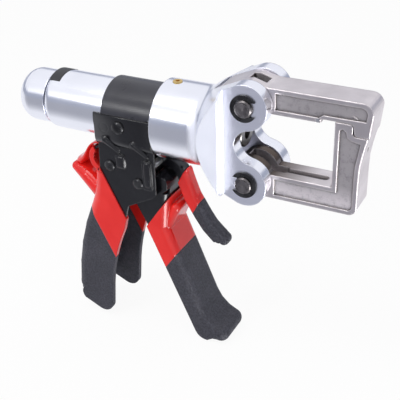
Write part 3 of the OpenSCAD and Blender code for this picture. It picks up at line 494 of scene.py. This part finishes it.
# Painted shade: ambient occlusion within 2.2 mm darkens the colour to a dark brown in corners and along the
# inner edges of the rims.
corner = add(tree, "AmbientOcclusion", {"Distance": 0.0022}, samples=6, only_local=True).outputs["AO"]
clear = add(tree, "MapRange", {"Value": corner, "From Min": 0.55, "From Max": 0.95}).outputs["Result"]
tint = blend_colour(tree, clear, (0.07, 0.062, 0.06), plain)
tree.links.new(tint, shader.inputs["Base Color"])
rough = add(tree, "Mix", {0: skin, 2: between(tree, milled, 0.26, 0.38),
                          3: between(tree, sand, 0.40, 0.58)}).outputs[0]
tree.links.new(rough, shader.inputs["Roughness"])
height = add(tree, "Mix", {0: skin, 2: milled, 3: sand}).outputs[0]
relief(tree, shader, height, 0.00012, 0.4, 0.0011)
dress(cast, "upper_jaw", "lower_jaw")


def pip_rows(centre, length, width, rise, slant, side):
    """Oblong pip: slanted ellipses in x and z that shrink as they climb a half cosine across the tool."""
    reach = np.linspace(1, 0.03, 13)[:, None]
    angle = -side * np.linspace(0, 2 * np.pi, 49)[:-1]
    along, broad = reach * np.cos(angle) * length / 2, reach * np.sin(angle) * width / 2
    x = centre[0] + along * math.cos(slant) - broad * math.sin(slant)
    y = centre[1] + side * (rise * np.cos(reach * np.pi / 2) - 0.0002) + 0 * x
    z = centre[2] + along * math.sin(slant) + broad * math.cos(slant)
    return np.stack([x, y, z], axis=-1)


for side, word in ((-1, "near"), (1, "far")):
    rows = pip_rows((0.0634, side * 0.00915, 0.0262), 0.0052, 0.0018, 0.0008, math.radians(-28), side)
    pip = closed("cast_pip_" + word, rows, cast)
    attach(pip, "upper_jaw")

# Jaw pins: hardened steel, faced on the lathe with a centre dot and one ring. They go through
# the fork and the jaws, and a spring clip holds each end.

pin, tree, shader, coords = surface("pin_steel", metallic=1.0)
worn = use(tree, handling, Vector=coords["Object"], Size=300.0)
upper_dot = use(tree, ring_mark, Vector=coords["Object"], Centre=(0, 0, 0.025), Radius=0.0)
lower_dot = use(tree, ring_mark, Vector=coords["Object"], Centre=(0, 0, -0.025), Radius=0.0)
upper_ring = use(tree, ring_mark, Vector=coords["Object"], Centre=(0, 0, 0.025), Radius=0.0034)
lower_ring = use(tree, ring_mark, Vector=coords["Object"], Centre=(0, 0, -0.025), Radius=0.0034)
turned = add(tree, "Math", {0: upper_dot, 1: lower_dot}, operation="MULTIPLY").outputs[0]
faced = add(tree, "Math", {0: upper_ring, 1: lower_ring}, operation="MULTIPLY").outputs[0]
tint = blend_colour(tree, worn, (0.13, 0.12, 0.12), (0.23, 0.215, 0.215))
tree.links.new(tint, shader.inputs["Base Color"])
tree.links.new(between(tree, worn, 0.26, 0.42), shader.inputs["Roughness"])
ends = add(tree, "Math", {0: faced, 1: 0.35, 2: turned}, operation="MULTIPLY_ADD").outputs[0]
relief(tree, shader, ends, 0.0005, 0.6, 0.0008)
dress(pin, "upper_pin", "lower_pin")

# Studio: a white floor under one large soft lamp overhead and a small one at the front left.
# Shiny parts see a grey room with a white ceiling and a bright card low on the right, which
# stands in for the floor there, and the camera sees plain white.

lowest = cad_box[0][2]


def sheet(name, half, z):
    """Flat square of the given half width at height z."""
    mesh = bpy.data.meshes.new(name)
    corners = [(-half, -half, z), (half, -half, z), (half, half, z), (-half, half, z)]
    mesh.from_pydata(corners, [], [(0, 1, 2, 3)])
    flat = bpy.data.objects.new(name, mesh)
    bpy.context.scene.collection.objects.link(flat)
    return flat


floor = sheet("studio_floor", 6.0, lowest - 0.0005)
white, tree, shader, coords = surface("studio_white")
shader.inputs["Base Color"].default_value = (0.9, 0.9, 0.9, 1)
shader.inputs["Roughness"].default_value = 0.9
rays = add(tree, "LightPath").outputs
share = add(tree, "Math", {0: rays["Is Camera Ray"], 1: 0.93}, operation="MULTIPLY").outputs[0]
glow = add(tree, "Emission", {"Color": (1, 1, 1, 1), "Strength": 1.0})
mixed = add(tree, "MixShader", {0: share, 1: shader.outputs[0], 2: glow.outputs[0]})
tree.links.new(mixed.outputs[0], tree.nodes["Material Output"].inputs["Surface"])
floor.data.materials.append(white)
floor.visible_glossy = False

world = bpy.data.worlds.new("studio_surround")
bpy.context.scene.world = world
world.use_nodes = True
tree = world.node_tree
rays = add(tree, "LightPath").outputs
toward = add(tree, "TexCoord").outputs["Generated"]
axes = add(tree, "SeparateXYZ", {0: toward}).outputs
band = add(tree, "ValToRGB", {0: between(tree, axes["Z"], 0.5, 1.0)})
band.color_ramp.elements[0].position, band.color_ramp.elements[0].color = 0.5, (0.40, 0.42, 0.50, 1)
band.color_ramp.elements[1].position, band.color_ramp.elements[1].color = 0.668, (0.92, 0.93, 0.99, 1)
dark = band.color_ramp.elements.new(0.63)
dark.color = (0.35, 0.38, 0.49, 1)
near = add(tree, "MapRange", {"Value": axes["Y"], "From Min": -0.72, "From Max": -0.33}).outputs["Result"]
side = add(tree, "MapRange", {"Value": axes["X"], "From Min": 0.05, "From Max": 0.40}).outputs["Result"]
pale = add(tree, "Math", {0: near, 1: side}, operation="MAXIMUM").outputs[0]
ground_tone = blend_colour(tree, pale, (0.40, 0.41, 0.47), (0.90, 0.91, 0.97))
above = add(tree, "Math", {0: axes["Z"], 1: 0.0}, operation="GREATER_THAN").outputs[0]
room = blend_colour(tree, above, ground_tone, band.outputs["Color"])
card = add(tree, "VectorMath", {0: toward, 1: (0.70, -0.44, -0.56)}, operation="DOT_PRODUCT")
hot = add(tree, "MapRange", {"Value": card.outputs["Value"], "From Min": 0.955, "From Max": 0.985,
                             "To Min": 0.0, "To Max": 12.0}, interpolation_type="SMOOTHSTEP").outputs[0]
lit = add(tree, "VectorMath", {0: room, 1: hot}, operation="ADD").outputs[0]
soft = blend_colour(tree, rays["Is Glossy Ray"], (0.60, 0.60, 0.61), lit)
view = blend_colour(tree, rays["Is Camera Ray"], soft, (1, 1, 1))
tree.links.new(view, tree.nodes["Background"].inputs["Color"])


def softbox(name, place, aim, size, power):
    """Square lamp at a place, turned to face a point."""
    lamp = bpy.data.lights.new(name, "AREA")
    lamp.size, lamp.energy = size, power
    holder = bpy.data.objects.new(name, lamp)
    holder.location = place
    holder.rotation_euler = (Vector(aim) - Vector(place)).to_track_quat("-Z", "Y").to_euler()
    bpy.context.scene.collection.objects.link(holder)


softbox("lamp_overhead", (-0.25, -0.35, 0.95), (-0.04, 0, -0.04), 0.5, 3.5)
softbox("lamp_front", (-0.50, -0.80, 0.46), (-0.06, 0, -0.04), 0.2, 1.5)

# Camera: a long lens from the right, at the photograph's height and angle, with a slight roll.
# Its place and its lens were worked out from points of the tool that can be measured there.

turn, rise, tilt = math.radians(28.22), math.radians(29.84), math.radians(-1.75)
back = Vector((math.sin(turn) * math.cos(rise), -math.cos(turn) * math.cos(rise), math.sin(rise)))
level = Vector((math.cos(turn), math.sin(turn), 0))
above = back.cross(level)
right = math.cos(tilt) * level + math.sin(tilt) * above
top = -math.sin(tilt) * level + math.cos(tilt) * above
lens = bpy.data.cameras.new("photo_camera")
lens.lens, lens.sensor_width = 843.67 * 36 / 400, 36
lens.clip_start = 0.01
camera = bpy.data.objects.new("photo_camera", lens)
camera.matrix_world = Matrix((right, top, back)).transposed().to_4x4()
camera.location = (0.1878, -0.4262, 0.2217)
bpy.context.scene.collection.objects.link(camera)
bpy.context.scene.camera = camera
bpy.context.scene.view_settings.view_transform = "Standard"
